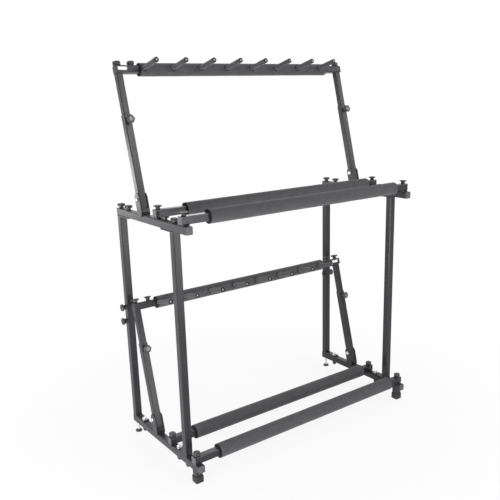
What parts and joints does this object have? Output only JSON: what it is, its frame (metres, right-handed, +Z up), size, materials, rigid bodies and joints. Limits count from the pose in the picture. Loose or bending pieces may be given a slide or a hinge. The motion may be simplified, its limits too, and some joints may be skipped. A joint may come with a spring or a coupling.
{
  "type": "racket display stand",
  "caption": "Free-standing two-tier rack of square tube with foam-covered rest bars and leaning, height-adjustable neck rests with pegs that hold rackets upright side by side.",
  "frame": {"origin": "centre of the stand's footprint, on the floor", "axes": "+Z up, +X to the stand's right as seen from the front, front towards -Y"},
  "size_m": [1.0186, 0.4685, 1.3482],
  "materials": {
    "coated_steel": "satin",
    "foam": "matte",
    "knob_plastic": "satin",
    "rubber": "matte",
    "zinc_hardware": "satin"
  },
  "bodies": {
    "root": {"bottom_rail_left": "coated_steel", "top_rail_left": "coated_steel", "front_upright_left": "coated_steel", "rear_upright_left": "coated_steel", "front_foot_cap_left": "rubber", "bottom_rail_right": "coated_steel", "top_rail_right": "coated_steel", "front_upright_right": "coated_steel", "rear_upright_right": "coated_steel", "front_foot_cap_right": "rubber", "upper_front_bar": "coated_steel", "upper_front_bar_foam": "foam", "upper_rear_bar": "coated_steel", "upper_rear_bar_foam": "foam", "upper_pivot_bolt_left": "zinc_hardware", "upper_pivot_bolt_right": "zinc_hardware", "lower_front_bar": "coated_steel", "lower_front_bar_foam": "foam", "lower_rear_bar": "coated_steel", "lower_rear_bar_foam": "foam", "lower_pivot_bolt_left": "zinc_hardware", "lower_pivot_bolt_right": "zinc_hardware"},
    "upper_arms": {"upper_arm_left": "coated_steel", "upper_arm_right": "coated_steel"},
    "upper_risers": {"upper_riser_left": "coated_steel", "upper_riser_right": "coated_steel", "upper_elbow_left": "coated_steel", "upper_elbow_right": "coated_steel"},
    "upper_crossbar": {"upper_crossbar": "coated_steel", "upper_crossbar_foam": "foam"},
    "upper_lock_knob_left": {"upper_lock_knob_left": "knob_plastic"},
    "upper_clamp_knob_left": {"upper_clamp_knob_left": "knob_plastic"},
    "upper_front_knob_left": {"upper_front_knob_left": "knob_plastic"},
    "upper_rear_knob_left": {"upper_rear_knob_left": "knob_plastic"},
    "upper_lock_knob_right": {"upper_lock_knob_right": "knob_plastic"},
    "upper_clamp_knob_right": {"upper_clamp_knob_right": "knob_plastic"},
    "upper_front_knob_right": {"upper_front_knob_right": "knob_plastic"},
    "upper_rear_knob_right": {"upper_rear_knob_right": "knob_plastic"},
    "lower_arms": {"lower_arm_left": "coated_steel", "lower_arm_right": "coated_steel"},
    "lower_risers": {"lower_riser_left": "coated_steel", "lower_riser_right": "coated_steel", "lower_elbow_left": "coated_steel", "lower_elbow_right": "coated_steel"},
    "lower_crossbar": {"lower_crossbar": "coated_steel", "lower_crossbar_foam": "foam"},
    "lower_lock_knob_left": {"lower_lock_knob_left": "knob_plastic"},
    "lower_clamp_knob_left": {"lower_clamp_knob_left": "knob_plastic"},
    "lower_front_knob_left": {"lower_front_knob_left": "knob_plastic"},
    "lower_rear_knob_left": {"lower_rear_knob_left": "knob_plastic"},
    "lower_lock_knob_right": {"lower_lock_knob_right": "knob_plastic"},
    "lower_clamp_knob_right": {"lower_clamp_knob_right": "knob_plastic"},
    "lower_front_knob_right": {"lower_front_knob_right": "knob_plastic"},
    "lower_rear_knob_right": {"lower_rear_knob_right": "knob_plastic"},
    "side_knob_left": {"side_knob_left": "knob_plastic"},
    "side_knob_left_high": {"side_knob_left_high": "knob_plastic"},
    "side_knob_right": {"side_knob_right": "knob_plastic"},
    "rear_leveller_left": {"rear_leveller_left": "zinc_hardware"},
    "rear_leveller_right": {"rear_leveller_right": "zinc_hardware"}
  },
  "joints": [
    {"name": "upper_fold", "type": "hinge", "parent": "root", "child": "upper_arms", "pos_m": [0, 0.0632, 0.9046], "axis": [1, 0, 0], "range_deg": [0, 95]},
    {"name": "upper_height", "type": "slide", "parent": "upper_arms", "child": "upper_risers", "axis": [0, 0.2504, 0.9681], "range_m": [-0.115, 0.06]},
    {"name": "upper_crossbar_shift", "type": "slide", "parent": "upper_risers", "child": "upper_crossbar", "axis": [1, 0, 0], "range_m": [-0.0025, 0.0025]},
    {"name": "upper_lock_knob_left_turn", "type": "hinge", "parent": "upper_arms", "child": "upper_lock_knob_left", "pos_m": [-0.4775, 0.11478, 1.15517], "axis": [0, -0.9681, 0.2504], "continuous": true},
    {"name": "upper_clamp_knob_left_turn", "type": "hinge", "parent": "upper_risers", "child": "upper_clamp_knob_left", "pos_m": [-0.43, 0.1683, 1.32498], "axis": [0, 0.2504, 0.9681], "continuous": true},
    {"name": "upper_front_knob_left_turn", "type": "hinge", "parent": "root", "child": "upper_front_knob_left", "pos_m": [-0.4775, -0.207, 0.8851], "axis": [0, 0, 1], "continuous": true},
    {"name": "upper_rear_knob_left_turn", "type": "hinge", "parent": "root", "child": "upper_rear_knob_left", "pos_m": [-0.4775, -0.047, 0.8851], "axis": [0, 0, 1], "continuous": true},
    {"name": "upper_lock_knob_right_turn", "type": "hinge", "parent": "upper_arms", "child": "upper_lock_knob_right", "pos_m": [0.4775, 0.11478, 1.15517], "axis": [0, -0.9681, 0.2504], "continuous": true},
    {"name": "upper_clamp_knob_right_turn", "type": "hinge", "parent": "upper_risers", "child": "upper_clamp_knob_right", "pos_m": [0.43, 0.1683, 1.32498], "axis": [0, 0.2504, 0.9681], "continuous": true},
    {"name": "upper_front_knob_right_turn", "type": "hinge", "parent": "root", "child": "upper_front_knob_right", "pos_m": [0.4775, -0.207, 0.8851], "axis": [0, 0, 1], "continuous": true},
    {"name": "upper_rear_knob_right_turn", "type": "hinge", "parent": "root", "child": "upper_rear_knob_right", "pos_m": [0.4775, -0.047, 0.8851], "axis": [0, 0, 1], "continuous": true},
    {"name": "lower_fold", "type": "hinge", "parent": "root", "child": "lower_arms", "pos_m": [0, 0.0632, 0.1156], "axis": [1, 0, 0], "range_deg": [0, 34]},
    {"name": "lower_height", "type": "slide", "parent": "lower_arms", "child": "lower_risers", "axis": [0, 0.2504, 0.9681], "range_m": [-0.1015, 0.0735]},
    {"name": "lower_crossbar_shift", "type": "slide", "parent": "lower_risers", "child": "lower_crossbar", "axis": [1, 0, 0], "range_m": [-0.007, 0.007]},
    {"name": "lower_lock_knob_left_turn", "type": "hinge", "parent": "lower_arms", "child": "lower_lock_knob_left", "pos_m": [-0.4775, 0.11478, 0.36617], "axis": [0, -0.9681, 0.2504], "continuous": true},
    {"name": "lower_clamp_knob_left_turn", "type": "hinge", "parent": "lower_risers", "child": "lower_clamp_knob_left", "pos_m": [-0.43, 0.16492, 0.5229], "axis": [0, 0.2504, 0.9681], "continuous": true},
    {"name": "lower_front_knob_left_turn", "type": "hinge", "parent": "root", "child": "lower_front_knob_left", "pos_m": [-0.4775, -0.207, 0.0926], "axis": [0, 0, 1], "continuous": true},
    {"name": "lower_rear_knob_left_turn", "type": "hinge", "parent": "root", "child": "lower_rear_knob_left", "pos_m": [-0.4775, -0.047, 0.0926], "axis": [0, 0, 1], "continuous": true},
    {"name": "lower_lock_knob_right_turn", "type": "hinge", "parent": "lower_arms", "child": "lower_lock_knob_right", "pos_m": [0.4775, 0.11478, 0.36617], "axis": [0, -0.9681, 0.2504], "continuous": true},
    {"name": "lower_clamp_knob_right_turn", "type": "hinge", "parent": "lower_risers", "child": "lower_clamp_knob_right", "pos_m": [0.43, 0.16492, 0.5229], "axis": [0, 0.2504, 0.9681], "continuous": true},
    {"name": "lower_front_knob_right_turn", "type": "hinge", "parent": "root", "child": "lower_front_knob_right", "pos_m": [0.4775, -0.207, 0.0926], "axis": [0, 0, 1], "continuous": true},
    {"name": "lower_rear_knob_right_turn", "type": "hinge", "parent": "root", "child": "lower_rear_knob_right", "pos_m": [0.4775, -0.047, 0.0926], "axis": [0, 0, 1], "continuous": true},
    {"name": "side_knob_left_turn", "type": "hinge", "parent": "root", "child": "side_knob_left", "pos_m": [-0.49, 0.2215, 0.445], "axis": [-1, 0, 0], "continuous": true},
    {"name": "side_knob_left_high_turn", "type": "hinge", "parent": "root", "child": "side_knob_left_high", "pos_m": [-0.49, 0.2215, 0.497], "axis": [-1, 0, 0], "continuous": true},
    {"name": "side_knob_right_turn", "type": "hinge", "parent": "root", "child": "side_knob_right", "pos_m": [0.49, 0.2215, 0.445], "axis": [1, 0, 0], "continuous": true},
    {"name": "rear_leveller_left_turn", "type": "hinge", "parent": "root", "child": "rear_leveller_left", "pos_m": [-0.4775, 0.2215, 0], "axis": [0, 0, 1], "continuous": true},
    {"name": "rear_leveller_right_turn", "type": "hinge", "parent": "root", "child": "rear_leveller_right", "pos_m": [0.4775, 0.2215, 0], "axis": [0, 0, 1], "continuous": true}
  ]
}
